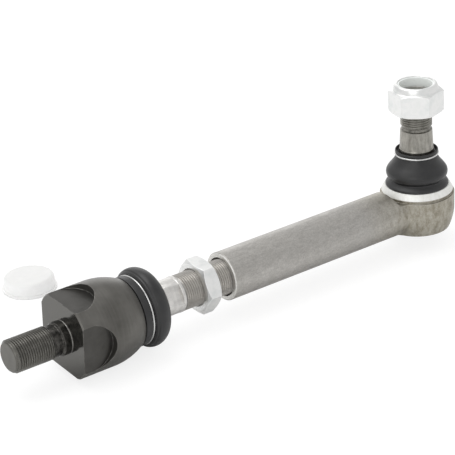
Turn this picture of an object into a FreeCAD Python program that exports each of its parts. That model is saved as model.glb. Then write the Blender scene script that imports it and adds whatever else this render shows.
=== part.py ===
import FreeCAD, Part
import math
import os

# Steering drag link: a forged tube with a ball joint eye at one end and, screwed into the
# other end, a ball rod that carries the inner ball joint housing. A plastic cap lies beside it.
#
# The rod axis is X, with the eye at +X. The origin is where the stud axis (Z, stud upwards)
# crosses the rod axis. Sizes are millimetres. Screw threads are plain cylinders on their outer
# diameter.

# Clearances
seat_gap = 0.3          # between pieces that only rest on each other
ball_gap = 0.05         # radial, ball in its seats
thread_gap = 0.05       # radial, screw in nut
seat_fit = 0.05         # radial, seat in its bore

# Tube and eye, one forging
tube_diameter = 30.0
tube_end_x = -156.3
tube_edge = 0.8
rod_hole_depth = 88.0
rod_hole_recess = 1.6
rod_hole_recess_radius = 12.1
eye_radius = 23.6
eye_stock = 4.0         # left on the forging's ends and then turned off
eye_step_z = 8.5
eye_collar_radius = 22.1
eye_corner_z = -14.5
eye_corner_radius = 20.4
eye_bottom_z = -16.0
eye_rolled_edge_radius = 17.2
eye_shoulder_z = 10.0
eye_spigot_radius = 17.6
eye_spigot_top = 13.9
neck_relief_radius = 28.0
neck_relief_corner = 1.5
neck_blend = 4.0

# Outer ball joint
outer_ball_z = 0.0
outer_ball_radius = 13.0
outer_ball_flat = 5.5
outer_neck_radius = 8.0
outer_seat_wall = 2.9
outer_mouth_radius = 12.4
outer_mouth_z = 7.7
outer_mouth_lip = 1.6
outer_mouth_flare = 14.6
outer_seat_mouth = 11.7
outer_seat_hole = 7.2
outer_plate_radius = 17.0
outer_plate_thickness = 1.4
outer_plate_dish = 0.5
outer_plate_dish_radius = 9.0
outer_crimp_thickness = 0.9
outer_crimp_radius = 15.4
outer_spring_thickness = 0.9
outer_spring_rise = 0.6
outer_spring_hole = 6.4

# Ball stud and the nut on it
stud_shoulder_radius = 10.9
stud_shoulder_z = 30.4
stud_neck_end_z = 19.6
taper_start_z = 38.9
taper_end_z = 50.9
taper_ratio = 0.1       # on the diameter
stud_undercut_radius = 9.0
stud_undercut_length = 2.2
stud_thread_radius = 10.0
stud_top_z = 75.0
stud_chamfer = 1.4
top_nut_bottom_z = 63.0
top_nut_flats = 30.0
top_nut_turn = 16.5
top_nut_hex_height = 14.2
top_nut_collar_height = 5.2
top_nut_collar_radius = 14.2
top_nut_rim_radius = 11.4
locking_ring_height = 3.0
locking_ring_radius = 13.1

# Outer boot
outer_boot_wall = 1.8
outer_boot_foot_radius = 20.4
outer_boot_neck_radius = 17.5
outer_boot_neck_z = 17.9
outer_boot_bulge_radius = 19.5
outer_boot_bulge_z = 23.2
outer_boot_waist_radius = 18.0
outer_boot_waist_drop = 3.4
outer_boot_cone_radius = 15.6
outer_boot_cone_drop = 3.2
outer_boot_groove_radius = 13.6
outer_boot_groove_z = 32.8
outer_boot_lip_radius = 14.1
outer_boot_top_z = 38.9
outer_boot_top_hollow = 1.5
outer_wire = 1.2
outer_wire_z = 34.9
seat_ring_gap = 0.35
seat_ring_height = 4.2
seat_ring_outer = 22.6
seat_ring_top_outer = 20.5

# Inner ball joint
inner_ball_x = -241.4
inner_ball_radius = 15.0
inner_ball_flat = 7.0
inner_neck_radius = 8.5
inner_neck_end_x = -214.4
rod_radius = 11.0
rod_shoulder_x = -207.4
rod_flats = 18.0
rod_flats_turn = -23.0
rod_flats_start_x = -198.6
rod_flats_end_x = -191.4
rod_collar_length = 2.2
rod_collar_radius = 11.2
rod_engagement = 41.9
rod_chamfer = 1.2
inner_seat_wall = 3.2
inner_mouth_x = -231.4
inner_mouth_radius = 13.3
inner_mouth_flare = 16.2
inner_seat_mouth = 12.4
inner_spring_thickness = 1.0
inner_spring_rise = 1.3
inner_spring_hole = 9.0
inner_seat_hole = 8.0
inner_spring_room = 3.6

# Inner housing, in one piece with its threaded stud
housing_radius = 26.0
housing_face_x = -268.1
housing_edge = 0.8
housing_straight_end_x = -244.4
housing_barrel_end_x = -225.7
housing_barrel_end_radius = 21.4
housing_barrel_radius = 40.0
housing_spigot_radius = 18.6
housing_spigot_end_x = -221.0
wrench_flats = 43.0
wrench_flat_length = 19.6
wrench_flat_end_radius = 14.6
wrench_flat_turn = 4.0
housing_stud_tip_x = -304.4
housing_stud_thread_end_x = -279.0
housing_stud_undercut_radius = 9.3
housing_stud_undercut_length = 5.6
housing_stud_collar_radius = 10.25
housing_stud_chamfer = 1.6
housing_stud_collar_edge = 0.8

# Inner boot
inner_boot_wall = 2.0
inner_boot_bead_radius = 21.2
inner_boot_bead_edge = 0.9
inner_boot_groove_x = -218.6
inner_boot_groove_radius = 20.0
inner_boot_bulge_x = -214.4
inner_boot_bulge_radius = 23.1
inner_boot_shoulder_radius = 19.4
inner_boot_shoulder_drop = 9.2
inner_boot_face_radius = 16.2
inner_boot_face_drop = 11.8
inner_boot_end_x = -199.2
inner_boot_lip_radius = 12.6
inner_boot_lip_start_x = -202.4
inner_wire = 1.3
small_wire = 1.0

# Lock nut on the ball rod
lock_nut_flats = 30.0
lock_nut_thickness = 10.0
lock_nut_gap = 10.8
lock_nut_turn = 24.0
nut_chamfer_angle = 30.0

# Plastic cap that lies beside the housing
cap_x = -222.8
cap_y = 113.3
cap_radius = 16.0
cap_flange_radius = 17.2
cap_height = 8.7
cap_wall = 1.1
cap_round = 2.6
cap_flange_height = 1.2

X_AXIS = FreeCAD.Vector(1, 0, 0)
Z_AXIS = FreeCAD.Vector(0, 0, 1)
ORIGIN = FreeCAD.Vector(0, 0, 0)


def section(axis, start, moves):
    """A closed face in the XZ plane; a point is (place along the axis, radius).

    A move is one point for a straight edge, or two points for an arc: one on it and its end.
    """
    def place(point):
        along, radius = point
        if axis == "x":
            return FreeCAD.Vector(along, 0, radius)
        return FreeCAD.Vector(radius, 0, along)

    edges = []
    here = place(start)
    for move in moves + [start]:
        if isinstance(move[0], tuple):
            through, end = place(move[0]), place(move[1])
            edges.append(Part.Arc(here, through, end).toShape())
        else:
            end = place(move)
            if (end - here).Length < 1e-6:
                continue
            edges.append(Part.LineSegment(here, end).toShape())
        here = end
    return Part.Face(Part.Wire(edges))


def turned(axis, start, *moves):
    """A solid of revolution about the rod axis ("x") or the stud axis ("z")."""
    face = section(axis, start, list(moves))
    direction = X_AXIS if axis == "x" else Z_AXIS
    solid = face.revolve(ORIGIN, direction, 360)
    return outward(solid)


def outward(shape):
    """The one solid of a shape, with its faces pointing outwards."""
    solid = shape.Solids[0] if shape.Solids else Part.makeSolid(shape)
    if solid.Volume < 0:
        solid.reverse()
    return solid


def on_ball(radius, at_radius):
    """Distance from a ball's centre, along the axis, of its circle with a given radius."""
    return math.sqrt(radius ** 2 - at_radius ** 2)


def arc_middle(centre, radius, start, end):
    """A point halfway along the short arc from start to end round a centre."""
    first = math.atan2(start[1] - centre[1], start[0] - centre[0])
    last = math.atan2(end[1] - centre[1], end[0] - centre[0])
    if abs(last - first) > math.pi:
        last += math.copysign(2 * math.pi, first - last)
    middle = (first + last) / 2
    return (centre[0] + radius * math.cos(middle), centre[1] + radius * math.sin(middle))


def hexagon_prism(flats, height):
    """A hexagonal bar standing on the XY plane, with a corner on the +X side."""
    corner = flats / math.sqrt(3)
    points = []
    for index in range(6):
        angle = math.radians(60 * index)
        points.append(FreeCAD.Vector(corner * math.cos(angle), corner * math.sin(angle), 0))
    face = Part.Face(Part.makePolygon(points + [points[0]]))
    return face.extrude(FreeCAD.Vector(0, 0, height))


def nut_chamfer(flats, height):
    """The turned envelope that takes a nut's corners off at both ends."""
    corner = flats / math.sqrt(3)
    face_radius = flats / 2 * 0.97
    drop = (corner - face_radius) * math.tan(math.radians(nut_chamfer_angle))
    return turned("z", (0, 0), (0, face_radius), (drop, corner), (height - drop, corner),
                  (height, face_radius), (height, 0))


def eye_blank():
    """The eye as forged, taller than it is once turned, with one smooth wall for the tube."""
    drop = eye_radius - eye_corner_radius
    side = (eye_corner_z ** 2 + drop ** 2) / (2 * drop)
    top = tube_diameter / 2 + eye_stock
    low = -top
    low_radius = eye_radius - side + math.sqrt(side ** 2 - low ** 2)
    side_middle = arc_middle((0, eye_radius - side), side, (low, low_radius), (0, eye_radius))
    return turned("z", (low, 0), (low, low_radius), (side_middle, (0, eye_radius)),
                  (top, eye_radius), (top, 0))


def neck_seam(forging):
    """The edges where the tube meets the wall of the eye."""
    seam = []
    for edge in forging.Edges:
        box = edge.BoundBox
        beside_eye = -eye_radius - 2 < box.XMin and box.XMax < -eye_radius / 4
        if beside_eye and box.YLength > 1 and box.ZLength > 1:
            seam.append(edge)
    return seam


def eye_top_relief():
    """What is turned off the top of the eye, with a run-out cut into the neck."""
    top = tube_diameter / 2 + 3
    corner = neck_relief_corner
    return turned(
        "z",
        (eye_step_z, eye_collar_radius),
        (eye_step_z, neck_relief_radius - corner),
        ((eye_step_z + 0.3 * corner, neck_relief_radius - 0.3 * corner),
         (eye_step_z + corner, neck_relief_radius)),
        (top, neck_relief_radius),
        (top, 0),
        (eye_spigot_top, 0),
        (eye_spigot_top, eye_spigot_radius),
        (eye_shoulder_z, eye_spigot_radius),
        (eye_shoulder_z, eye_collar_radius))


def eye_bottom_relief():
    """What is turned off the bottom of the eye to leave the rolled edge and its run-out."""
    low = eye_bottom_z - 2 * eye_stock
    corner = eye_corner_radius + seat_fit
    return turned(
        "z",
        (eye_bottom_z, 0),
        (eye_bottom_z, eye_rolled_edge_radius),
        (eye_corner_z, corner),
        (low, corner + eye_corner_z - low),
        (low, 0))


def tie_rod_body():
    """Tube and eye in one forging, bored for the ball rod and for the outer ball."""
    half = tube_diameter / 2
    bar = turned("x", (tube_end_x, 0), (tube_end_x, half - tube_edge),
                 (tube_end_x + tube_edge, half), (0, half), (0, 0))
    forging = bar.fuse(eye_blank()).removeSplitter()
    forging = forging.makeFillet(neck_blend, neck_seam(forging))
    forging = forging.cut(eye_top_relief()).cut(eye_bottom_relief())
    rod_hole = rod_radius + thread_gap
    hole_end = tube_end_x + rod_hole_depth
    rod_cut = turned(
        "x",
        (tube_end_x - 1, 0),
        (tube_end_x - 1, rod_hole_recess_radius),
        (tube_end_x + rod_hole_recess, rod_hole_recess_radius),
        (tube_end_x + rod_hole_recess + rod_hole_recess_radius - rod_hole, rod_hole),
        (hole_end, rod_hole),
        (hole_end + rod_hole * math.tan(math.radians(30)), 0))
    seat_radius = outer_ball_radius + outer_seat_wall
    crimp_top = eye_bottom_z + outer_crimp_thickness
    plate_top = crimp_top + outer_plate_thickness + 2 * seat_fit
    plate_radius = outer_plate_radius + seat_fit
    ball_cut = turned(
        "z",
        (eye_bottom_z - 1, 0),
        (eye_bottom_z - 1, outer_crimp_radius),
        (crimp_top, outer_crimp_radius),
        (crimp_top, plate_radius),
        (plate_top, plate_radius),
        (plate_top, seat_radius),
        (outer_mouth_z, seat_radius),
        (outer_mouth_z, outer_mouth_radius),
        (outer_mouth_z + outer_mouth_lip, outer_mouth_radius),
        (eye_spigot_top, outer_mouth_flare),
        (eye_spigot_top + 1, outer_mouth_flare),
        (eye_spigot_top + 1, 0))
    return outward(forging.cut(rod_cut).cut(ball_cut))


def outer_upper_seat():
    """Plastic half shell above the outer ball."""
    ball = outer_ball_radius + ball_gap
    outside = outer_ball_radius + outer_seat_wall - seat_fit
    top = outer_mouth_z - seat_fit
    low = seat_gap / 2
    start = (outer_ball_z + low, on_ball(ball, low))
    end = (outer_ball_z + on_ball(ball, outer_seat_mouth), outer_seat_mouth)
    return turned("z", start, (outer_ball_z + low, outside), (top, outside),
                  (top, outer_seat_mouth + 0.3), end,
                  (arc_middle((outer_ball_z, 0), ball, end, start), start))


def outer_lower_seat():
    """Plastic cup under the outer ball, pressed up by the disc spring."""
    ball = outer_ball_radius + ball_gap
    outside = outer_ball_radius + outer_seat_wall - seat_fit
    high = -seat_gap / 2
    floor = outer_spring_top()
    hole = outer_seat_hole
    start = (outer_ball_z + high, on_ball(ball, high))
    end = (outer_ball_z - on_ball(ball, hole), hole)
    return turned("z", start, (outer_ball_z + high, outside), (floor + 1.0, outside),
                  (floor, outside - 1.0), (floor, hole), end,
                  (arc_middle((outer_ball_z, 0), ball, end, start), start))


def outer_plate_top():
    return eye_bottom_z + outer_crimp_thickness + seat_fit + outer_plate_thickness


def outer_spring_top():
    return outer_plate_top() + outer_spring_rise + outer_spring_thickness + 2 * seat_fit


def disc_spring(axis, low, thickness, rise, hole, outside):
    """A coned disc spring whose outer rim stands at low and whose hole stands higher."""
    return turned(axis, (low, outside), (low + thickness, outside),
                  (low + thickness + rise, hole), (low + rise, hole))


def outer_disc_spring():
    """Coned spring that loads the outer ball."""
    outside = outer_ball_radius + outer_seat_wall - 2 * seat_fit
    return disc_spring("z", outer_plate_top() + seat_fit, outer_spring_thickness,
                       outer_spring_rise, outer_spring_hole, outside)


def outer_closing_plate():
    """Pressed plate with a sunk middle, rolled into the bottom of the eye."""
    bottom = eye_bottom_z + outer_crimp_thickness + seat_fit
    top = outer_plate_top()
    dish = bottom + outer_plate_dish
    return turned("z", (dish, 0), (dish, outer_plate_dish_radius),
                  (bottom, outer_plate_dish_radius + 2.0),
                  (bottom, outer_plate_radius), (top, outer_plate_radius), (top, 0))


def outer_boot_seat_ring():
    """Coned steel ring on the shoulder of the eye that holds the foot of the outer boot."""
    low = eye_shoulder_z + seat_fit
    edge = eye_shoulder_z + seat_ring_gap
    high = eye_shoulder_z + seat_ring_height
    inside = eye_spigot_radius + seat_fit
    return turned("z", (low, inside), (low, eye_collar_radius - 0.6), (edge, seat_ring_outer),
                  (edge + 0.3, seat_ring_outer), (high, seat_ring_top_outer), (high, inside))


def outer_boot():
    """Rubber boot from the seat ring up to the collar of the ball stud."""
    foot = eye_shoulder_z + seat_ring_height + seat_fit
    wall = outer_boot_wall
    inside = stud_shoulder_radius + thread_gap
    return turned(
        "z",
        (foot, eye_spigot_radius - 2.6),
        (foot, outer_boot_foot_radius),
        (foot + 1.0, outer_boot_foot_radius - 0.2),
        ((outer_boot_neck_z - 0.4, outer_boot_neck_radius + 0.3),
         (outer_boot_neck_z, outer_boot_neck_radius)),
        (outer_boot_neck_z + 0.4, outer_boot_neck_radius),
        ((outer_boot_bulge_z, outer_boot_bulge_radius),
         (outer_boot_bulge_z + outer_boot_waist_drop, outer_boot_waist_radius)),
        ((outer_boot_groove_z - outer_boot_cone_drop, outer_boot_cone_radius),
         (outer_boot_groove_z, outer_boot_groove_radius)),
        (outer_wire_z + 0.7, outer_boot_groove_radius),
        (outer_wire_z + 1.0, outer_boot_lip_radius),
        (outer_boot_top_z - 0.4, outer_boot_lip_radius),
        (outer_boot_top_z, outer_boot_lip_radius - 0.4),
        (outer_boot_top_z, outer_boot_lip_radius - 1.0),
        (outer_boot_top_z - outer_boot_top_hollow, inside),
        (outer_boot_groove_z - 1.0, inside),
        ((outer_boot_groove_z - outer_boot_cone_drop - wall / 2, outer_boot_cone_radius - wall),
         (outer_boot_bulge_z + outer_boot_waist_drop - wall / 2, outer_boot_waist_radius - wall)),
        ((outer_boot_bulge_z, outer_boot_bulge_radius - wall),
         (outer_boot_neck_z + wall / 3, outer_boot_neck_radius - wall)),
        (foot + 1.2, outer_boot_neck_radius - wall))


def wire_ring(axis, place, radius, wire):
    """A closed ring of round wire."""
    if axis == "x":
        return Part.makeTorus(radius, wire / 2, FreeCAD.Vector(place, 0, 0), X_AXIS)
    return Part.makeTorus(radius, wire / 2, FreeCAD.Vector(0, 0, place), Z_AXIS)


def outer_boot_clip():
    """Wire ring in the groove at the top of the outer boot."""
    radius = outer_boot_groove_radius + outer_wire / 2 + seat_fit
    return wire_ring("z", outer_wire_z, radius, outer_wire)


def outer_ball_stud():
    """Ball, neck, taper and thread of the outer ball joint."""
    ball = outer_ball_radius
    neck_z = outer_ball_z + on_ball(ball, outer_neck_radius)
    taper_top = stud_shoulder_radius - 0.25
    taper_end = taper_top - taper_ratio / 2 * (taper_end_z - taper_start_z)
    undercut_end = taper_end_z + stud_undercut_length
    bottom = (outer_ball_z - on_ball(ball, outer_ball_flat), outer_ball_flat)
    return turned(
        "z",
        (bottom[0], 0),
        bottom,
        ((outer_ball_z, ball), (neck_z, outer_neck_radius)),
        (stud_neck_end_z, outer_neck_radius),
        (stud_shoulder_z, stud_shoulder_radius),
        (taper_start_z - 0.5, stud_shoulder_radius),
        (taper_start_z, taper_top),
        (taper_end_z, taper_end),
        (taper_end_z + 0.5, stud_undercut_radius),
        (undercut_end, stud_undercut_radius),
        (undercut_end + 1.0, stud_thread_radius),
        (stud_top_z - stud_chamfer, stud_thread_radius),
        (stud_top_z, stud_thread_radius - stud_chamfer),
        (stud_top_z, 0))


def top_nut():
    """Hexagon nut with a collar that holds the plastic locking ring."""
    low = top_nut_bottom_z
    hexagon = hexagon_prism(top_nut_flats, top_nut_hex_height)
    hexagon = hexagon.common(nut_chamfer(top_nut_flats, top_nut_hex_height))
    rim = top_nut_hex_height + top_nut_collar_height
    bead = 1.6
    collar = turned(
        "z",
        (top_nut_hex_height - 1.0, 0),
        (top_nut_hex_height - 1.0, top_nut_collar_radius),
        (rim - bead, top_nut_collar_radius),
        ((rim - bead * 0.3, top_nut_collar_radius - bead * 0.3),
         (rim, top_nut_collar_radius - bead)),
        (rim, 0))
    bore = stud_thread_radius + thread_gap
    ring = top_nut_hex_height + 0.2
    hole = turned(
        "z",
        (-1, 0),
        (-1, bore + 2.0),
        (1.0, bore),
        (ring, bore),
        (ring, locking_ring_radius + seat_fit),
        (ring + locking_ring_height + 2 * seat_fit, locking_ring_radius + seat_fit),
        (rim, top_nut_rim_radius),
        (rim + 1, top_nut_rim_radius),
        (rim + 1, 0))
    nut = hexagon.fuse(collar).cut(hole)
    nut.rotate(ORIGIN, Z_AXIS, top_nut_turn)
    nut.translate(FreeCAD.Vector(0, 0, low))
    return outward(nut)


def locking_ring():
    """Plastic ring inside the collar of the top nut."""
    low = top_nut_bottom_z + top_nut_hex_height + 0.2 + seat_fit
    high = low + locking_ring_height
    inside = stud_thread_radius + thread_gap
    return turned("z", (low, inside), (low, locking_ring_radius), (high, locking_ring_radius),
                  (high, inside + 0.5), (high - 0.5, inside))


def inner_ball_rod():
    """Ball, neck, wrench flats and threaded shank that screws into the tube."""
    ball = inner_ball_radius
    front = inner_ball_x - on_ball(ball, inner_ball_flat)
    neck_start = inner_ball_x + on_ball(ball, inner_neck_radius)
    collar_start = rod_flats_end_x
    collar_end = collar_start + rod_collar_length
    rod_end = tube_end_x + rod_engagement
    rod = turned(
        "x",
        (front, 0),
        (front, inner_ball_flat),
        ((inner_ball_x, ball), (neck_start, inner_neck_radius)),
        (inner_neck_end_x, inner_neck_radius),
        (rod_shoulder_x, rod_radius),
        (collar_start, rod_radius),
        (collar_start + 0.3, rod_collar_radius),
        (collar_end - 0.5, rod_collar_radius),
        (collar_end, rod_radius - 0.5),
        (collar_end + 0.8, rod_radius),
        (rod_end - rod_chamfer, rod_radius),
        (rod_end, rod_radius - rod_chamfer),
        (rod_end, 0))
    for side in (-1, 1):
        length = rod_flats_end_x - rod_flats_start_x
        depth = rod_radius
        slab = Part.makeBox(length, depth, 4 * rod_radius,
                            FreeCAD.Vector(rod_flats_start_x, 0, -2 * rod_radius))
        shift = rod_flats / 2 if side > 0 else -rod_flats / 2 - depth
        slab.translate(FreeCAD.Vector(0, shift, 0))
        slab.rotate(ORIGIN, X_AXIS, rod_flats_turn)
        rod = rod.cut(slab)
    return outward(rod)


def inner_seat_radius():
    return inner_ball_radius + inner_seat_wall


def inner_cavity_bottom():
    return inner_ball_x - inner_ball_radius - inner_spring_room


def inner_housing():
    """Housing of the inner ball joint, with its threaded stud and four wrench flats."""
    face = housing_face_x
    stud = housing_stud_thread_end_x
    collar_start = stud + housing_stud_undercut_length
    middle = (housing_straight_end_x + housing_barrel_end_x) / 2
    centre = barrel_centre()
    barrel_mid = centre[1] + math.sqrt(housing_barrel_radius ** 2 - (middle - centre[0]) ** 2)
    solid = turned(
        "x",
        (housing_stud_tip_x, 0),
        (housing_stud_tip_x, stud_thread_radius - housing_stud_chamfer),
        (housing_stud_tip_x + housing_stud_chamfer, stud_thread_radius),
        (stud, stud_thread_radius),
        (stud + 0.5, housing_stud_undercut_radius),
        (collar_start - 0.1, housing_stud_undercut_radius),
        (collar_start, housing_stud_collar_radius - housing_stud_collar_edge),
        (collar_start + housing_stud_collar_edge, housing_stud_collar_radius),
        (face, housing_stud_collar_radius),
        (face, housing_radius - housing_edge),
        (face + housing_edge, housing_radius),
        (housing_straight_end_x, housing_radius),
        ((middle, barrel_mid), (housing_barrel_end_x, housing_barrel_end_radius)),
        (housing_barrel_end_x, housing_spigot_radius),
        (housing_spigot_end_x, housing_spigot_radius),
        (housing_spigot_end_x, 0))
    cavity = turned(
        "x",
        (inner_cavity_bottom(), 0),
        (inner_cavity_bottom(), inner_seat_radius()),
        (inner_mouth_x, inner_seat_radius()),
        (inner_mouth_x + 1.2, inner_mouth_radius),
        (inner_mouth_x + 3.0, inner_mouth_radius + 0.3),
        (housing_spigot_end_x, inner_mouth_flare),
        (housing_spigot_end_x + 1, inner_mouth_flare),
        (housing_spigot_end_x + 1, 0))
    solid = solid.cut(cavity)
    for index in range(4):
        cutter = wrench_flat_cutter()
        cutter.rotate(ORIGIN, X_AXIS, wrench_flat_turn + 90 * index)
        solid = solid.cut(cutter)
    return outward(solid)


def barrel_centre():
    """Centre of the arc that closes the housing in towards the boot."""
    start = (housing_straight_end_x, housing_radius)
    end = (housing_barrel_end_x, housing_barrel_end_radius)
    dx, dy = end[0] - start[0], end[1] - start[1]
    chord = math.hypot(dx, dy)
    reach = math.sqrt(housing_barrel_radius ** 2 - (chord / 2) ** 2)
    middle = ((start[0] + end[0]) / 2, (start[1] + end[1]) / 2)
    return (middle[0] + dy / chord * reach, middle[1] - dx / chord * reach)


def wrench_flat_cutter():
    """A slab with a round end, which mills one wrench flat into the top of the housing."""
    centre_x = housing_face_x + wrench_flat_length - wrench_flat_end_radius
    depth = housing_radius - wrench_flats / 2 + 2
    slab = Part.makeBox(centre_x - housing_face_x + 5, 2 * wrench_flat_end_radius, depth,
                        FreeCAD.Vector(housing_face_x - 5, -wrench_flat_end_radius,
                                       wrench_flats / 2))
    end = Part.makeCylinder(wrench_flat_end_radius, depth,
                            FreeCAD.Vector(centre_x, 0, wrench_flats / 2), Z_AXIS)
    return slab.fuse(end)


def inner_front_seat():
    """Plastic cup between the inner ball and the bottom of the housing."""
    ball = inner_ball_radius + ball_gap
    outside = inner_seat_radius() - seat_fit
    floor = inner_cavity_bottom() + inner_spring_thickness + inner_spring_rise + 2 * seat_fit
    hole = inner_seat_hole
    high = -seat_gap / 2
    start = (inner_ball_x + high, on_ball(ball, high))
    end = (inner_ball_x - on_ball(ball, hole), hole)
    return turned("x", start, (inner_ball_x + high, outside), (floor + 1.0, outside),
                  (floor, outside - 1.0), (floor, hole), end,
                  (arc_middle((inner_ball_x, 0), ball, end, start), start))


def inner_rear_seat():
    """Plastic ring between the inner ball and the rolled mouth of the housing."""
    ball = inner_ball_radius + ball_gap
    outside = inner_seat_radius() - seat_fit
    low = seat_gap / 2
    back = inner_mouth_x - seat_fit
    start = (inner_ball_x + low, on_ball(ball, low))
    end = (inner_ball_x + on_ball(ball, inner_seat_mouth), inner_seat_mouth)
    return turned("x", start, (inner_ball_x + low, outside), (back, outside),
                  (back, inner_seat_mouth + 0.4), end,
                  (arc_middle((inner_ball_x, 0), ball, end, start), start))


def inner_disc_spring():
    """Coned spring behind the front seat."""
    outside = inner_seat_radius() - 2 * seat_fit
    return disc_spring("x", inner_cavity_bottom() + seat_fit, inner_spring_thickness,
                       inner_spring_rise, inner_spring_hole, outside)


def inner_boot():
    """Rubber boot from the housing spigot to the smooth part of the ball rod."""
    wall = inner_boot_wall
    bead_start = housing_barrel_end_x + seat_fit
    on_spigot = housing_spigot_radius + seat_fit
    on_rod = rod_radius + thread_gap
    edge = inner_boot_bead_edge
    groove = inner_boot_groove_x
    bulge_x, bulge = inner_boot_bulge_x, inner_boot_bulge_radius
    crown_x = bulge_x + inner_boot_shoulder_drop / 2 + 0.6
    crown = bulge - wall * 0.7
    shoulder = (bulge_x + inner_boot_shoulder_drop, inner_boot_shoulder_radius)
    inner_shoulder = (shoulder[0] - wall * 0.7, shoulder[1] - wall * 0.7)
    face_x = bulge_x + inner_boot_face_drop
    return turned(
        "x",
        (bead_start, on_spigot),
        (bead_start, inner_boot_bead_radius - edge),
        (bead_start + edge, inner_boot_bead_radius),
        (groove - 0.9, inner_boot_bead_radius),
        (groove - 0.7, inner_boot_groove_radius),
        (groove + 0.7, inner_boot_groove_radius),
        (groove + 0.8, inner_boot_bead_radius + 0.2),
        ((bulge_x - 1.9, bulge - 0.35), (bulge_x + 0.6, bulge)),
        ((crown_x, crown), shoulder),
        ((face_x, inner_boot_face_radius), (inner_boot_lip_start_x + 1.2, inner_boot_lip_radius)),
        (inner_boot_end_x - 0.5, inner_boot_lip_radius),
        (inner_boot_end_x, inner_boot_lip_radius - 0.5),
        (inner_boot_end_x, on_rod),
        (inner_boot_lip_start_x - 2.0, on_rod),
        ((face_x - wall * 1.2, inner_boot_face_radius - 0.6), inner_shoulder),
        ((crown_x - wall * 0.6, crown - wall), (bulge_x + 0.2, bulge - wall)),
        ((bulge_x - 2.0, bulge - wall - 0.6), (groove + 1.4, on_spigot + 0.3)),
        (housing_spigot_end_x + 0.6, on_spigot))


def inner_boot_large_ring():
    """Wire ring that holds the boot on the housing."""
    radius = inner_boot_groove_radius + inner_wire / 2 + seat_fit
    return wire_ring("x", inner_boot_groove_x, radius, inner_wire)


def inner_boot_small_ring():
    """Wire ring that holds the boot on the ball rod."""
    radius = inner_boot_lip_radius + small_wire / 2 + seat_fit
    return wire_ring("x", (inner_boot_lip_start_x + 1.2 + inner_boot_end_x) / 2, radius, small_wire)


def lock_nut():
    """Thin hexagon nut on the ball rod, which locks against the end of the tube."""
    nut = hexagon_prism(lock_nut_flats, lock_nut_thickness)
    nut = nut.common(nut_chamfer(lock_nut_flats, lock_nut_thickness))
    bore = rod_radius + thread_gap
    chamfer = 0.9
    hole = turned("z", (-1, 0), (-1, bore + chamfer + 1), (chamfer, bore),
                  (lock_nut_thickness - chamfer, bore),
                  (lock_nut_thickness + 1, bore + chamfer + 1), (lock_nut_thickness + 1, 0))
    nut = nut.cut(hole)
    nut.rotate(ORIGIN, Z_AXIS, lock_nut_turn)
    nut.rotate(ORIGIN, FreeCAD.Vector(0, 1, 0), -90)
    nut.translate(FreeCAD.Vector(tube_end_x - lock_nut_gap, 0, 0))
    return outward(nut)


def plastic_cap():
    """Round cap with a low flange, lying open side down level with the housing."""
    base = -housing_radius
    top = base + cap_height
    rise = cap_round * (1 - math.sqrt(0.5))
    inner_round = cap_round - cap_wall
    inner_rise = inner_round * (1 - math.sqrt(0.5))
    inside = cap_radius - cap_wall
    cap = turned(
        "z",
        (top, 0),
        (top, cap_radius - cap_round),
        ((top - rise, cap_radius - rise), (top - cap_round, cap_radius)),
        (base + cap_flange_height, cap_radius),
        (base + cap_flange_height, cap_flange_radius),
        (base, cap_flange_radius),
        (base, inside),
        (top - cap_round, inside),
        ((top - cap_wall - inner_rise, inside - inner_rise),
         (top - cap_wall, inside - inner_round)),
        (top - cap_wall, 0))
    cap.translate(FreeCAD.Vector(cap_x, cap_y, 0))
    return outward(cap)


PIECES = {
    "tie_rod_body": tie_rod_body,
    "outer_upper_seat": outer_upper_seat,
    "outer_lower_seat": outer_lower_seat,
    "outer_disc_spring": outer_disc_spring,
    "outer_closing_plate": outer_closing_plate,
    "outer_boot_seat_ring": outer_boot_seat_ring,
    "outer_boot": outer_boot,
    "outer_boot_clip": outer_boot_clip,
    "outer_ball_stud": outer_ball_stud,
    "top_nut": top_nut,
    "top_nut_locking_ring": locking_ring,
    "tube_lock_nut": lock_nut,
    "inner_ball_rod": inner_ball_rod,
    "inner_housing": inner_housing,
    "inner_front_seat": inner_front_seat,
    "inner_rear_seat": inner_rear_seat,
    "inner_disc_spring": inner_disc_spring,
    "inner_boot": inner_boot,
    "inner_boot_large_ring": inner_boot_large_ring,
    "inner_boot_small_ring": inner_boot_small_ring,
    "plastic_cap": plastic_cap,
}

os.makedirs("parts", exist_ok=True)
for name, make in PIECES.items():
    piece = make()
    piece.exportStep("parts/" + name + ".step")
    box = piece.BoundBox
    print("%-24s valid %s volume %9.1f  x %.1f %.1f  y %.1f %.1f  z %.1f %.1f" % (
        name, piece.isValid(), piece.Volume,
        box.XMin, box.XMax, box.YMin, box.YMax, box.ZMin, box.ZMax))
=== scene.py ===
import math

import bmesh
import bpy
from mathutils import Matrix, Vector


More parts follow.
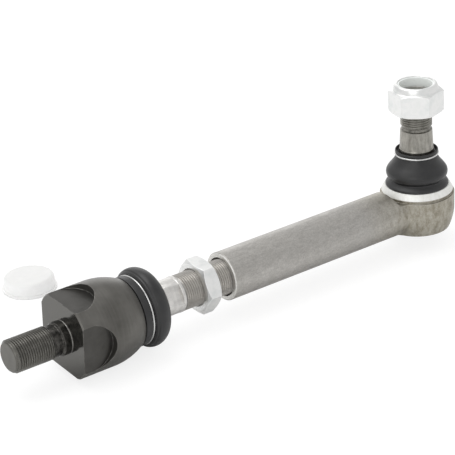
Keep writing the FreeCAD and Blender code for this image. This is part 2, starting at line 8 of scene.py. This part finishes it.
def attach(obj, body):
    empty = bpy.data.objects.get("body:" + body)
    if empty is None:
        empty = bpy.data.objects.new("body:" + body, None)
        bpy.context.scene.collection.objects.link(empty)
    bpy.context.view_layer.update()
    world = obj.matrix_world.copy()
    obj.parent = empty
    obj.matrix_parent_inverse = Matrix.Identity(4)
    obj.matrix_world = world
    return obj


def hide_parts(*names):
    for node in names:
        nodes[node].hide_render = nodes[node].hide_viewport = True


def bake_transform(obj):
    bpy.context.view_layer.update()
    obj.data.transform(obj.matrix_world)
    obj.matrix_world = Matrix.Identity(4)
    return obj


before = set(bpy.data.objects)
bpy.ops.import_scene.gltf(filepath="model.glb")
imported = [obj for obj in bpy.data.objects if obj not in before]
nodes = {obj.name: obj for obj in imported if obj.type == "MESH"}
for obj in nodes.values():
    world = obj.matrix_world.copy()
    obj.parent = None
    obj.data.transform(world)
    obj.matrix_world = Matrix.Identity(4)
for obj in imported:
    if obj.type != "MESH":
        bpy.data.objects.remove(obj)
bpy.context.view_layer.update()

# Steering drag link on a pale floor: forged tube and eye, ball stud with its nut, ball rod with
# its lock nut, inner ball joint housing, two rubber boots and a loose plastic cap.

mm = 0.001
X = Vector((1, 0, 0))
Z = Vector((0, 0, 1))

# Screw threads
pitch = 1.5 * mm
thread_depth = 0.6 * pitch
thread_steps = 56
stud_radius = 10.0 * mm
rod_radius = 11.0 * mm
stud_undercut = 51.0 * mm
stud_thread_start = 53.3 * mm
stud_thread_end = 75.0 * mm
housing_thread_start = -304.4 * mm
housing_thread_end = -279.2 * mm
rod_collar_end = -189.2 * mm
rod_thread_start = -188.8 * mm
rod_thread_end = -114.4 * mm

# Top nut
nut_flats = 30.0 * mm
nut_turn = 46.5

# Housing: end face, end of its flats, radius, and the turn of its flats about the rod axis
housing_face = -268.1 * mm
flats_end = -248.4 * mm
housing_radius = 26.0 * mm
flat_turn = 4.0

# Tube: its machined face, and where its drawn skin runs into the forged one
tube_face = -155.8 * mm
forged_start = -55.0 * mm
forged_end = -18.0 * mm

# Boots, floor and cap
boot_steps = 96
floor_height = -26.0 * mm
floor_gap = 0.2 * mm
cap_top = -17.3 * mm

# The point on the link that the lamps are aimed at, in metres
lamp_target = (-0.14, 0, 0)


def finished(bm, name, material, replaced, sharp=32, flats=()):
    """A shaded mesh object for the built shape, in place of its CAD node."""
    bmesh.ops.recalc_face_normals(bm, faces=bm.faces)
    bm.normal_update()
    for face in bm.faces:
        face.smooth = True
    for edge in bm.edges:
        on_flat = {any(face.normal.dot(flat) > 0.9999 for flat in flats)
                   for face in edge.link_faces}
        bend = math.degrees(edge.calc_face_angle(0.0))
        edge.smooth = bend < sharp and len(on_flat) == 1
    mesh = bpy.data.meshes.new(name)
    bm.to_mesh(mesh)
    bm.free()
    piece = bpy.data.objects.new(name, mesh)
    bpy.context.collection.objects.link(piece)
    mesh.materials.append(material)
    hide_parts(replaced)
    return piece


def welded(bm):
    """Merges the vertices that lie on each other."""
    bmesh.ops.remove_doubles(bm, verts=bm.verts, dist=0.0005 * mm)


def cad_shape(node):
    """A welded copy of a CAD node's mesh."""
    bm = bmesh.new()
    bm.from_mesh(nodes[node].data)
    welded(bm)
    return bm


def cut_away(bm, at, towards):
    """Cuts the shape at a plane, drops the side it points to and closes the cut."""
    every = bm.verts[:] + bm.edges[:] + bm.faces[:]
    cut = bmesh.ops.bisect_plane(bm, geom=every, dist=1e-7, plane_co=at, plane_no=towards,
                                 clear_outer=True)
    edges = [part for part in cut["geom_cut"] if isinstance(part, bmesh.types.BMEdge)]
    bmesh.ops.holes_fill(bm, edges=edges, sides=0)


def joined(bm, other):
    """Adds a second built shape to the first."""
    carrier = bpy.data.meshes.new("carrier")
    other.to_mesh(carrier)
    other.free()
    bm.from_mesh(carrier)
    bpy.data.meshes.remove(carrier)


def axis_frame(axis):
    """Turns a shape built along Z so that it lies along the axis."""
    if axis == X:
        return Matrix.Rotation(math.radians(90), 4, "Y")
    return Matrix.Identity(4)


def screw_thread(axis, start, end, crest, chamfer_start, chamfer_end, runout=0.8 * mm):
    """A right-hand screw thread from start to end, chamfered or run out at its ends."""
    root = crest - thread_depth
    outline = [(0.0, root), (0.22, root), (0.27, root + 0.1 * thread_depth),
               (0.55, crest - 0.08 * thread_depth), (0.58, crest), (0.67, crest),
               (0.70, crest - 0.08 * thread_depth), (0.95, root + 0.1 * thread_depth), (1.0, root)]
    bm = bmesh.new()
    verts = [bm.verts.new((radius, 0, start - pitch + part * pitch)) for part, radius in outline]
    edges = [bm.edges.new(pair) for pair in zip(verts, verts[1:])]
    bmesh.ops.spin(bm, geom=verts + edges, cent=(0, 0, 0), axis=Z,
                   dvec=Z * (pitch / thread_steps), angle=2 * math.pi, steps=thread_steps,
                   use_merge=False, use_duplicate=False)
    turns = 1
    while turns * pitch < end - start + 2 * pitch:
        copied = bmesh.ops.duplicate(bm, geom=bm.verts[:] + bm.edges[:] + bm.faces[:])
        copied = [part for part in copied["geom"] if isinstance(part, bmesh.types.BMVert)]
        bmesh.ops.translate(bm, vec=Z * pitch * turns, verts=copied)
        turns *= 2
    bmesh.ops.remove_doubles(bm, verts=bm.verts, dist=0.002 * mm)
    cut_away(bm, Z * start, -Z)
    cut_away(bm, Z * end, Z)
    for vert in bm.verts:
        radius = math.hypot(vert.co.x, vert.co.y)
        if radius < 0.5 * root:
            continue
        limit = crest
        if chamfer_start:
            limit = min(limit, crest - chamfer_start + vert.co.z - start)
        else:
            limit = min(limit, root + max(0.0, (vert.co.z - start) / runout) * thread_depth)
        if chamfer_end:
            limit = min(limit, crest - chamfer_end + end - vert.co.z)
        else:
            limit = min(limit, root + max(0.0, (end - vert.co.z) / runout) * thread_depth)
        if radius > limit:
            vert.co.x *= limit / radius
            vert.co.y *= limit / radius
    bmesh.ops.transform(bm, matrix=axis_frame(axis), verts=bm.verts)
    return bm


def turned_shell(axis, outline, steps):
    """A closed outline of (along, radius, rounding) points in mm, spun round the axis."""
    bm = bmesh.new()
    verts = [bm.verts.new((radius * mm, 0, along * mm)) for along, radius, rounding in outline]
    for index, vert in enumerate(verts):
        bm.edges.new((vert, verts[(index + 1) % len(verts)]))
    for vert, (along, radius, rounding) in zip(verts, outline):
        if rounding:
            bmesh.ops.bevel(bm, geom=[vert], offset=rounding * mm, offset_type="OFFSET",
                            affect="VERTICES", segments=6, profile=0.5, clamp_overlap=True,
                            material=-1)
    bmesh.ops.spin(bm, geom=bm.verts[:] + bm.edges[:], cent=(0, 0, 0), axis=Z,
                   angle=2 * math.pi, steps=steps, use_merge=True, use_duplicate=False)
    welded(bm)
    bmesh.ops.transform(bm, matrix=axis_frame(axis), verts=bm.verts)
    return bm


# Finishes

def finish(name, colour, metallic, roughness):
    """A new material; returns it with its node tree and shader."""
    material = bpy.data.materials.new(name)
    material.use_nodes = True
    tree = material.node_tree
    shader = tree.nodes["Principled BSDF"]
    shader.inputs["Base Color"].default_value = (*colour, 1)
    shader.inputs["Metallic"].default_value = metallic
    shader.inputs["Roughness"].default_value = roughness
    return material, tree, shader


def mapped(tree, stretch=(1, 1, 1)):
    """Object coordinates, stretched along the axes."""
    coordinates = tree.nodes.new("ShaderNodeTexCoord")
    mapping = tree.nodes.new("ShaderNodeMapping")
    mapping.inputs["Scale"].default_value = stretch
    tree.links.new(coordinates.outputs["Object"], mapping.inputs["Vector"])
    return mapping.outputs["Vector"]


def noise(tree, vector, scale, detail=4.0, roughness=0.55):
    """The value of a noise texture, about 0.5 on average."""
    texture = tree.nodes.new("ShaderNodeTexNoise")
    texture.inputs["Scale"].default_value = scale
    texture.inputs["Detail"].default_value = detail
    texture.inputs["Roughness"].default_value = roughness
    tree.links.new(vector, texture.inputs["Vector"])
    return texture.outputs["Fac"]


def shades(tree, value, *stops):
    """A colour ramp of (position, colour) stops."""
    ramp = tree.nodes.new("ShaderNodeValToRGB")
    while len(ramp.color_ramp.elements) < len(stops):
        ramp.color_ramp.elements.new(0.5)
    for element, (position, colour) in zip(ramp.color_ramp.elements, stops):
        element.position = position
        element.color = (*colour, 1)
    tree.links.new(value, ramp.inputs["Fac"])
    return ramp.outputs["Color"]


def spread(tree, value, low, high, from_low=0.3, from_high=0.7):
    """Maps a value onto the range from low to high."""
    span = tree.nodes.new("ShaderNodeMapRange")
    span.inputs["From Min"].default_value = from_low
    span.inputs["From Max"].default_value = from_high
    span.inputs["To Min"].default_value = low
    span.inputs["To Max"].default_value = high
    tree.links.new(value, span.inputs["Value"])
    return span.outputs["Result"]


def mixed(tree, amount, first, second, kind="MIX"):
    """Mixes two colours by an amount, each a socket or a colour."""
    mix = tree.nodes.new("ShaderNodeMix")
    mix.data_type = "RGBA"
    mix.blend_type = kind
    if isinstance(amount, (int, float)):
        mix.inputs["Factor"].default_value = amount
    else:
        tree.links.new(amount, mix.inputs["Factor"])
    for socket, colour in (("A", first), ("B", second)):
        target = [entry for entry in mix.inputs if entry.name == socket
                  and entry.type == "RGBA"][0]
        if isinstance(colour, tuple):
            target.default_value = (*colour, 1)
        else:
            tree.links.new(colour, target)
    return [entry for entry in mix.outputs if entry.type == "RGBA"][0]


def rounded_edges(tree, radius):
    """Normals that round the edges off, and how near to an edge a point is, from 0 to 1."""
    rounded = tree.nodes.new("ShaderNodeBevel")
    rounded.samples = 8
    rounded.inputs["Radius"].default_value = radius
    geometry = tree.nodes.new("ShaderNodeNewGeometry")
    agreement = tree.nodes.new("ShaderNodeVectorMath")
    agreement.operation = "DOT_PRODUCT"
    tree.links.new(rounded.outputs["Normal"], agreement.inputs[0])
    tree.links.new(geometry.outputs["Normal"], agreement.inputs[1])
    nearness = spread(tree, agreement.outputs["Value"], 1.0, 0.0, 0.82, 0.985)
    return rounded.outputs["Normal"], nearness


def tinted_edges(tree, edges, amount, colour, edge_colour):
    """Lays another colour over the edges by an amount."""
    share = mixed(tree, 1.0, edges, (amount, amount, amount), "MULTIPLY")
    return mixed(tree, share, colour, edge_colour)


def bumped(tree, shader, height, strength, distance, normal=None):
    """Gives the shader a bump from a height, on top of another normal if there is one."""
    bump = tree.nodes.new("ShaderNodeBump")
    if normal:
        tree.links.new(normal, bump.inputs["Normal"])
    bump.inputs["Strength"].default_value = strength
    bump.inputs["Distance"].default_value = distance
    tree.links.new(height, bump.inputs["Height"])
    tree.links.new(bump.outputs["Normal"], shader.inputs["Normal"])


def place_along(tree, axis, start, end):
    """0 before start and 1 after end along an axis of the object."""
    coordinates = tree.nodes.new("ShaderNodeTexCoord")
    split = tree.nodes.new("ShaderNodeSeparateXYZ")
    tree.links.new(coordinates.outputs["Object"], split.inputs["Vector"])
    return spread(tree, split.outputs[axis], 0.0, 1.0, start, end)


def tube_finish():
    """Drawn tube, satin grey, running into the browner skin of the forged eye."""
    material, tree, shader = finish("drawn tube and forged eye", (0.4, 0.39, 0.37), 1.0, 0.42)
    lengthwise = noise(tree, mapped(tree, stretch=(0.35, 1, 1)), 520, 6.0, 0.7)
    cloud = noise(tree, mapped(tree), 45, 3.0)
    grain = noise(tree, mapped(tree), 1100, 4.0, 0.75)
    drawn = shades(tree, lengthwise, (0.3, (0.39, 0.375, 0.355)), (0.7, (0.54, 0.525, 0.50)))
    drawn = mixed(tree, spread(tree, cloud, 0.0, 0.5), drawn, (0.44, 0.425, 0.40))
    forged = shades(tree, noise(tree, mapped(tree, stretch=(1, 1, 0.45)), 330, 7.0, 0.72),
                    (0.3, (0.24, 0.215, 0.16)), (0.52, (0.42, 0.395, 0.335)),
                    (0.75, (0.54, 0.52, 0.46)))
    towards_eye = place_along(tree, "X", forged_start, forged_end)
    edge = mixed(tree, 0.35, towards_eye, cloud, "OVERLAY")
    colour = mixed(tree, edge, drawn, forged)
    machined = place_along(tree, "X", tube_face, tube_face + 0.01 * mm)
    colour = mixed(tree, machined, (0.78, 0.77, 0.74), colour)
    speckle = spread(tree, grain, 0.78, 1.14)
    colour = mixed(tree, 1.0, colour, speckle, "MULTIPLY")
    rounded, edges = rounded_edges(tree, 0.5 * mm)
    colour = tinted_edges(tree, edges, 0.7, colour, (0.72, 0.70, 0.66))
    tree.links.new(colour, shader.inputs["Base Color"])
    tree.links.new(spread(tree, cloud, 0.38, 0.5), shader.inputs["Roughness"])
    bumped(tree, shader, grain, 0.22, 0.0001, rounded)
    return material


def machined_finish(name, colour, axis, roughness=0.3, blotches=0.35, thread=None):
    """Turned steel with fine tool rings, stains along its axis and bright edges; with a thread
    given, painted shade darkens the undercut groove before it.
    """
    material, tree, shader = finish(name, colour, 1.0, roughness)
    across = (1.0, 0.02, 0.02) if axis == X else (0.02, 0.02, 1.0)
    along = (0.3, 1.0, 1.0) if axis == X else (1.0, 1.0, 0.3)
    rings = noise(tree, mapped(tree, stretch=across), 2600)
    stains = noise(tree, mapped(tree, stretch=along), 380, 5.0, 0.7)
    stains = spread(tree, stains, 0.0, blotches, 0.42, 0.68)
    dark = tuple(channel * 0.85 for channel in colour)
    # Stain colour; it also paints shade into the undercut groove below.
    stain_and_groove_shade = tuple(channel * 0.4 for channel in colour)
    bright = tuple(min(0.95, channel * 1.5) for channel in colour)
    rounded, edges = rounded_edges(tree, 0.25 * mm)
    shade = mixed(tree, spread(tree, rings, 0.0, 1.0), dark, colour)
    shade = mixed(tree, stains, shade, stain_and_groove_shade)
    shade = tinted_edges(tree, edges, 0.6, shade, bright)
    if thread:
        undercut, start, thread_colour = thread
        letter = "X" if axis == X else "Z"
        # Painted shade: from the undercut to the thread start the band is darkened as a shaded
        # groove, mottled by the stains.
        shade = mixed(tree, place_along(tree, letter, undercut, undercut + 0.01 * mm), shade,
                      mixed(tree, stains, stain_and_groove_shade, dark))
        shade = mixed(tree, place_along(tree, letter, start, start + 0.01 * mm), shade,
                      mixed(tree, stains, thread_colour, stain_and_groove_shade))
    tree.links.new(shade, shader.inputs["Base Color"])
    tree.links.new(spread(tree, rings, roughness * 0.85, roughness * 1.2),
                   shader.inputs["Roughness"])
    bumped(tree, shader, rings, 0.12, 0.00008, rounded)
    return material


def oxide_finish():
    """Blackened housing: semi-gloss skin, glossy end face, dark collar and worn bright edges."""
    material, tree, shader = finish("black oxide housing", (0.09, 0.087, 0.08), 0.9, 0.36)
    cloud = noise(tree, mapped(tree), 60, 4.0)
    grain = noise(tree, mapped(tree), 1300, 4.0, 0.7)
    rings = noise(tree, mapped(tree, stretch=(1.0, 0.03, 0.03)), 1200)
    skin = shades(tree, cloud, (0.3, (0.095, 0.091, 0.083)), (0.7, (0.16, 0.155, 0.143)))
    skin = mixed(tree, spread(tree, rings, 0.0, 0.25), skin, (0.2, 0.195, 0.185))
    reach = tree.nodes.new("ShaderNodeVectorMath")
    reach.operation = "LENGTH"
    tree.links.new(mapped(tree, stretch=(0, 1, 1)), reach.inputs[0])
    facing = tree.nodes.new("ShaderNodeSeparateXYZ")
    geometry = tree.nodes.new("ShaderNodeNewGeometry")
    tree.links.new(geometry.outputs["Normal"], facing.inputs["Vector"])
    milled = shades(tree, cloud, (0.3, (0.055, 0.053, 0.049)), (0.7, (0.095, 0.092, 0.086)))
    milled = mixed(tree, spread(tree, facing.outputs["X"], 1.0, 0.0, -0.3, -0.1), milled, skin)
    on_barrel = spread(tree, reach.outputs["Value"], 0.0, 1.0, housing_radius - 0.2 * mm,
                       housing_radius - 0.05 * mm)
    milled = mixed(tree, on_barrel, milled, skin)
    skin = mixed(tree, place_along(tree, "X", flats_end, flats_end + 0.1 * mm), milled, skin)
    face = place_along(tree, "X", housing_face + 0.05 * mm, housing_face + 0.06 * mm)
    skin = mixed(tree, face, (0.125, 0.122, 0.113), skin)
    in_front = place_along(tree, "X", housing_face - 0.06 * mm, housing_face - 0.05 * mm)
    collar = shades(tree, noise(tree, mapped(tree), 420, 5.0, 0.7),
                    (0.38, (0.022, 0.021, 0.019)), (0.68, (0.13, 0.125, 0.115)))
    collar = mixed(tree, place_along(tree, "X", housing_face - 0.5 * mm, housing_face - 0.4 * mm),
                   collar, (0.5, 0.49, 0.47))
    skin = mixed(tree, in_front, collar, skin)
    behind_thread = place_along(tree, "X", housing_thread_end, housing_thread_end + 0.2 * mm)
    thread = shades(tree, cloud, (0.3, (0.10, 0.097, 0.087)), (0.7, (0.17, 0.165, 0.15)))
    skin = mixed(tree, behind_thread, thread, skin)
    rounded, edges = rounded_edges(tree, 0.45 * mm)
    patches = spread(tree, noise(tree, mapped(tree), 330, 4.0, 0.6), 0.0, 1.0, 0.42, 0.62)
    worn = mixed(tree, 1.0, edges, patches, "MULTIPLY")
    tree.links.new(mixed(tree, worn, skin, (0.32, 0.31, 0.295)), shader.inputs["Base Color"])
    gloss = mixed(tree, in_front, (0.3, 0.3, 0.3), (0.13, 0.13, 0.13))
    dull = spread(tree, grain, 0.30, 0.42)
    tree.links.new(mixed(tree, face, gloss, dull), shader.inputs["Roughness"])
    bumped(tree, shader, grain, 0.1, 0.00006, rounded)
    return material


def zinc_finish():
    """Bright zinc plate with a faint cold tint."""
    material, tree, shader = finish("bright zinc plate", (0.82, 0.83, 0.82), 0.95, 0.3)
    cloud = noise(tree, mapped(tree), 140, 4.0)
    grain = noise(tree, mapped(tree), 2400, 2.0)
    colour = shades(tree, cloud, (0.3, (0.78, 0.80, 0.79)), (0.55, (0.90, 0.90, 0.89)),
                    (0.8, (0.82, 0.84, 0.82)))
    rounded, edges = rounded_edges(tree, 0.5 * mm)
    colour = tinted_edges(tree, edges, 0.5, colour, (0.97, 0.97, 0.97))
    tree.links.new(colour, shader.inputs["Base Color"])
    tree.links.new(spread(tree, cloud, 0.28, 0.42), shader.inputs["Roughness"])
    bumped(tree, shader, grain, 0.08, 0.00006, rounded)
    return material


def ring_finish():
    """Satin white skin of the boot's seat ring."""
    material, tree, shader = finish("seat ring steel", (0.88, 0.88, 0.85), 0.5, 0.5)
    stretched = noise(tree, mapped(tree, stretch=(1, 1, 0.15)), 500, 4.0)
    colour = shades(tree, stretched, (0.3, (0.82, 0.82, 0.78)), (0.7, (0.92, 0.92, 0.90)))
    tree.links.new(colour, shader.inputs["Base Color"])
    rounded = rounded_edges(tree, 0.3 * mm)[0]
    bumped(tree, shader, stretched, 0.1, 0.00006, rounded)
    return material


def rubber_finish():
    """Moulded rubber with a soft sheen and a fine matt grain."""
    material, tree, shader = finish("moulded rubber", (0.02, 0.02, 0.02), 0.0, 0.42)
    cloud = noise(tree, mapped(tree), 90, 4.0)
    grain = noise(tree, mapped(tree), 2600, 3.0, 0.7)
    colour = shades(tree, cloud, (0.3, (0.009, 0.009, 0.010)), (0.75, (0.024, 0.024, 0.024)))
    tree.links.new(colour, shader.inputs["Base Color"])
    tree.links.new(spread(tree, cloud, 0.34, 0.48), shader.inputs["Roughness"])
    shader.inputs["Specular IOR Level"].default_value = 0.55
    bumped(tree, shader, grain, 0.12, 0.00008)
    return material


def seat_finish(name, colour):
    """Plain moulded plastic of the bearing seats and the locking ring."""
    material, tree, shader = finish(name, colour, 0.0, 0.45)
    cloud = noise(tree, mapped(tree), 200, 3.0)
    dark = tuple(channel * 0.85 for channel in colour)
    tree.links.new(mixed(tree, cloud, dark, colour), shader.inputs["Base Color"])
    bumped(tree, shader, cloud, 0.08, 0.0001)
    return material


def cap_finish():
    """Thin milky plastic of the cap, with painted light: its top is painted darker and its sides
    lighter, to even out the stronger lamp light on top.
    """
    material, tree, shader = finish("milky cap plastic", (0.86, 0.86, 0.84), 0.0, 0.35)
    cloud = noise(tree, mapped(tree), 160, 3.0)
    # Painted light: the sides get a lighter colour and the top a darker one than the plastic has,
    # for the stronger light falling on the top.
    side = shades(tree, cloud, (0.3, (0.92, 0.92, 0.91)), (0.7, (0.97, 0.97, 0.96)))
    top = shades(tree, cloud, (0.3, (0.76, 0.76, 0.75)), (0.7, (0.80, 0.80, 0.79)))
    colour = mixed(tree, place_along(tree, "Z", cap_top - 2.0 * mm, cap_top), side, top)
    rounded, edges = rounded_edges(tree, 0.7 * mm)
    colour = tinted_edges(tree, edges, 0.6, colour, (0.66, 0.66, 0.65))
    tree.links.new(colour, shader.inputs["Base Color"])
    shader.inputs["Subsurface Weight"].default_value = 0.4
    shader.inputs["Subsurface Radius"].default_value = (0.004, 0.004, 0.004)
    tree.links.new(spread(tree, cloud, 0.3, 0.42), shader.inputs["Roughness"])
    bumped(tree, shader, cloud, 0.05, 0.0002, rounded)
    return material


tube_steel = tube_finish()
black_oxide = oxide_finish()
zinc_plate = zinc_finish()
boot_rubber = rubber_finish()
cap_plastic = cap_finish()
stud_steel = machined_finish("ball stud steel", (0.43, 0.415, 0.375), Z, 0.36, 0.8,
                             (stud_undercut, stud_thread_start, (0.38, 0.37, 0.34)))
rod_steel = machined_finish("ball rod steel", (0.78, 0.765, 0.74), X, 0.36, 0.35,
                            (rod_collar_end, rod_thread_start, (0.53, 0.51, 0.48)))
ring_steel = ring_finish()
wire_steel = machined_finish("clip wire", (0.78, 0.78, 0.77), Z, 0.28)
plate_steel = machined_finish("closing plate steel", (0.36, 0.35, 0.32), Z, 0.4)
spring_steel = machined_finish("spring steel", (0.2, 0.2, 0.21), Z, 0.35)
seat_plastic = seat_finish("bearing seat plastic", (0.75, 0.73, 0.66))
locking_plastic = seat_finish("locking ring plastic", (0.95, 0.98, 0.96))


# Ball stud: the CAD shape below its thread, with a cut thread above
stud = cad_shape("outer_ball_stud")
cut_away(stud, Z * stud_thread_start, Z)
joined(stud, screw_thread(Z, stud_thread_start, stud_thread_end, stud_radius, 0, 1.4 * mm))
stud = finished(stud, "threaded_stud", stud_steel, "outer_ball_stud", sharp=24)
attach(stud, "ball_stud")

# Ball rod: the CAD shape up to its collar, with a cut thread from there on
rod = cad_shape("inner_ball_rod")
cut_away(rod, X * rod_thread_start, X)
joined(rod, screw_thread(X, rod_thread_start, rod_thread_end, rod_radius, 0.3 * mm, 1.2 * mm))
rod = finished(rod, "threaded_rod", rod_steel, "inner_ball_rod", sharp=20)
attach(rod, "ball_rod")

# Top nut: turned with its collar, then cut to the hexagon
nut_outline = [
    (63.0, 15.6, 0), (63.8, 17.4, 0), (76.3, 17.4, 0), (77.2, 15.4, 0), (77.2, 15.0, 0),
    (77.6, 14.2, 0.3), (79.6, 13.9, 1.2), (81.2, 13.1, 0.8), (81.5, 12.3, 0.3), (81.5, 11.5, 0.2),
    (81.1, 11.2, 0.2), (81.1, 12.6, 0), (75.3, 12.6, 0), (75.3, 10.3, 0), (64.3, 10.3, 0),
    (63.0, 11.3, 0)]
nut = turned_shell(Z, nut_outline, 96)
for sixth in range(6):
    side = Matrix.Rotation(math.radians(nut_turn + 60 * sixth), 3, "Z") @ X
    cut_away(nut, side * nut_flats / 2, side)
nut = finished(nut, "crimped_top_nut", zinc_plate, "top_nut", sharp=25)
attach(nut, "top_nut")
locking_ring = turned_shell(Z, [(75.4, 10.15, 0.2), (75.4, 12.5, 0.1), (81.0, 12.5, 0.2),
                                (81.0, 10.35, 0.4)], 96)
locking_ring = finished(locking_ring, "nut_locking_ring", locking_plastic,
                        "top_nut_locking_ring")
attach(locking_ring, "top_nut_travel")

# Housing: the CAD shape from the stud's undercut on, with a cut thread in front of it
housing = cad_shape("inner_housing")
cut_away(housing, X * housing_thread_end, -X)
joined(housing, screw_thread(X, housing_thread_start, housing_thread_end, stud_radius,
                             1.6 * mm, 0))
housing_flats = [Matrix.Rotation(math.radians(flat_turn + 90 * quarter), 3, "X") @ Z
                 for quarter in range(4)]
housing = finished(housing, "threaded_housing", black_oxide, "inner_housing",
                   sharp=30, flats=housing_flats + [X, -X])
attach(housing, "inner_housing")

# Boots
outer_outline = [
    (14.25, 15.0, 0), (14.25, 20.0, 0.3), (15.5, 19.8, 0.5), (17.2, 17.8, 0.6),
    (18.0, 17.2, 0.3), (18.8, 17.5, 0.4), (20.0, 18.8, 0.8), (23.2, 20.0, 2.2),
    (26.6, 17.7, 1.4), (29.4, 15.2, 1.6), (32.6, 13.3, 0.9), (33.8, 12.8, 0.3),
    (35.6, 12.8, 0.15), (35.8, 13.5, 0.2), (37.0, 13.6, 0.3), (37.5, 13.3, 0.3),
    (37.5, 12.9, 0.2), (35.6, 12.3, 0.4), (34.9, 10.95, 0.2), (31.8, 10.95, 0.6),
    (28.4, 13.6, 1.6), (25.4, 16.2, 1.6), (22.4, 17.5, 1.6), (19.6, 16.9, 0.8),
    (18.2, 15.7, 0.6), (15.4, 15.7, 0.6)]
outer_boot = turned_shell(Z, outer_outline, boot_steps)
outer_boot = finished(outer_boot, "stud_boot", boot_rubber, "outer_boot")
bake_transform(outer_boot)

inner_outline = [
    (-224.9, 18.65, 0), (-224.9, 21.2, 0.6), (-220.5, 21.2, 0.2), (-220.3, 20.0, 0.15),
    (-218.9, 20.0, 0.15), (-218.8, 21.5, 0.3), (-218.2, 22.5, 0.35), (-217.4, 22.8, 0.3),
    (-216.8, 23.6, 0.5), (-214.2, 24.3, 1.4), (-209.9, 23.3, 2.2), (-207.1, 20.2, 2.0),
    (-205.8, 16.5, 1.4), (-205.9, 13.4, 0.4), (-205.3, 12.7, 0.2), (-205.2, 12.3, 0.1),
    (-204.3, 12.3, 0.1), (-204.2, 12.7, 0.2), (-203.8, 12.4, 0.2), (-203.8, 11.05, 0),
    (-207.3, 11.05, 0.4), (-208.0, 15.4, 1.0), (-209.4, 18.8, 1.4), (-211.4, 21.2, 1.6),
    (-214.2, 22.1, 1.4), (-217.0, 21.2, 1.0), (-218.4, 19.0, 0.5), (-220.8, 18.65, 0)]
inner_boot = turned_shell(X, inner_outline, boot_steps)
inner_boot = finished(inner_boot, "rod_boot", boot_rubber, "inner_boot")
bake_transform(inner_boot)

# Wire rings that hold the boots
wire_rings = [
    ("stud_boot_wire", "outer_boot_clip", "outer_tilt", Z, 34.9, 13.4, 0.6),
    ("rod_boot_wire", "inner_boot_large_ring", "inner_tilt", X, -219.6, 20.65, 0.65),
    ("rod_lip_wire", "inner_boot_small_ring", "rod_travel", X, -204.75, 12.8, 0.35)]
for name, replaced, rides, axis, along, radius, thickness in wire_rings:
    section = [(along + thickness * math.sin(math.radians(part)),
                radius + thickness * math.cos(math.radians(part)), 0)
               for part in range(0, 360, 30)]
    ring = turned_shell(axis, section, boot_steps)
    ring = finished(ring, name, wire_steel, replaced)
    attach(ring, rides)

# Finishes of the CAD nodes that are shown as they are
carried = {
    "tie_rod_body": tube_steel,
    "outer_upper_seat": seat_plastic,
    "outer_lower_seat": seat_plastic,
    "inner_front_seat": seat_plastic,
    "inner_rear_seat": seat_plastic,
    "outer_disc_spring": spring_steel,
    "inner_disc_spring": spring_steel,
    "outer_closing_plate": plate_steel,
    "outer_boot_seat_ring": ring_steel,
    "tube_lock_nut": zinc_plate,
    "plastic_cap": cap_plastic,
}
for node, material in carried.items():
    for slot in nodes[node].material_slots:
        slot.material = material

# Floor
floor_shape = bmesh.new()
bmesh.ops.create_grid(floor_shape, x_segments=1, y_segments=1, size=4.0)
bmesh.ops.translate(floor_shape, vec=(0, 0, floor_height - floor_gap), verts=floor_shape.verts)
floor_mesh = bpy.data.meshes.new("floor")
floor_shape.to_mesh(floor_mesh)
floor_shape.free()
floor = bpy.data.objects.new("floor", floor_mesh)
bpy.context.collection.objects.link(floor)
paper, paper_tree, paper_shader = finish("studio paper", (0.8, 0.8, 0.8), 0.0, 0.9)
paper_shader.inputs["Specular IOR Level"].default_value = 0.0
seen = paper_tree.nodes.new("ShaderNodeLightPath")
white = mixed(paper_tree, seen.outputs["Is Camera Ray"], (0.9, 0.9, 0.9), (0.26, 0.26, 0.26))
paper_tree.links.new(white, paper_shader.inputs["Base Color"])
paper_shader.inputs["Emission Color"].default_value = (1, 1, 1, 1)
paper_tree.links.new(spread(paper_tree, seen.outputs["Is Camera Ray"], 0.0, 0.8, 0.0, 1.0),
                     paper_shader.inputs["Emission Strength"])
floor.data.materials.append(paper)

# Studio light: a white room, a large soft lamp above and weaker ones at the side and the back
world = bpy.data.worlds.new("white room")
bpy.context.scene.world = world
world.use_nodes = True
sky = world.node_tree.nodes["Background"]
sky_tree = world.node_tree
sky_path = sky_tree.nodes.new("ShaderNodeLightPath")
sky_colour = mixed(sky_tree, sky_path.outputs["Is Camera Ray"], (0.74, 0.74, 0.74),
                   (1.0, 1.0, 1.0))
sky_tree.links.new(sky_colour, sky.inputs["Color"])
sky.inputs["Strength"].default_value = 1.0


def soft_lamp(name, place, target, size, power):
    """A square area lamp aimed at a point."""
    lamp = bpy.data.lights.new(name, "AREA")
    lamp.shape = "SQUARE"
    lamp.size = size
    lamp.energy = power
    holder = bpy.data.objects.new(name, lamp)
    holder.location = place
    holder.rotation_euler = (Vector(target) - Vector(place)).to_track_quat("-Z", "Y").to_euler()
    bpy.context.collection.objects.link(holder)


soft_lamp("overhead softbox", (-0.35, 0.25, 1.1), lamp_target, 0.9, 5.0)
soft_lamp("side softbox", (-1.1, -0.7, 0.6), lamp_target, 0.7, 2.0)
soft_lamp("back softbox", (0.45, 1.0, 0.3), lamp_target, 0.7, 1.0)

# Camera at the photograph's angle
camera_target = Vector((-0.1512, -0.0022, 0.03149))
camera_distance = 1.1533
camera_azimuth = math.radians(-35.648)
camera_elevation = math.radians(24.743)
camera_roll = math.radians(-3.274)
back = Vector((math.sin(camera_azimuth) * math.cos(camera_elevation),
               -math.cos(camera_azimuth) * math.cos(camera_elevation),
               math.sin(camera_elevation)))
lens = bpy.data.cameras.new("camera")
lens.lens = 154.95
lens.sensor_width = 36.0
lens.clip_start = 0.05
camera = bpy.data.objects.new("camera", lens)
camera.location = camera_target + back * camera_distance
aim = (-back).to_track_quat("-Z", "Y").to_matrix()
camera.rotation_euler = (aim @ Matrix.Rotation(camera_roll, 3, "Z")).to_euler()
bpy.context.collection.objects.link(camera)
bpy.context.scene.camera = camera
bpy.context.scene.view_settings.view_transform = "Standard"
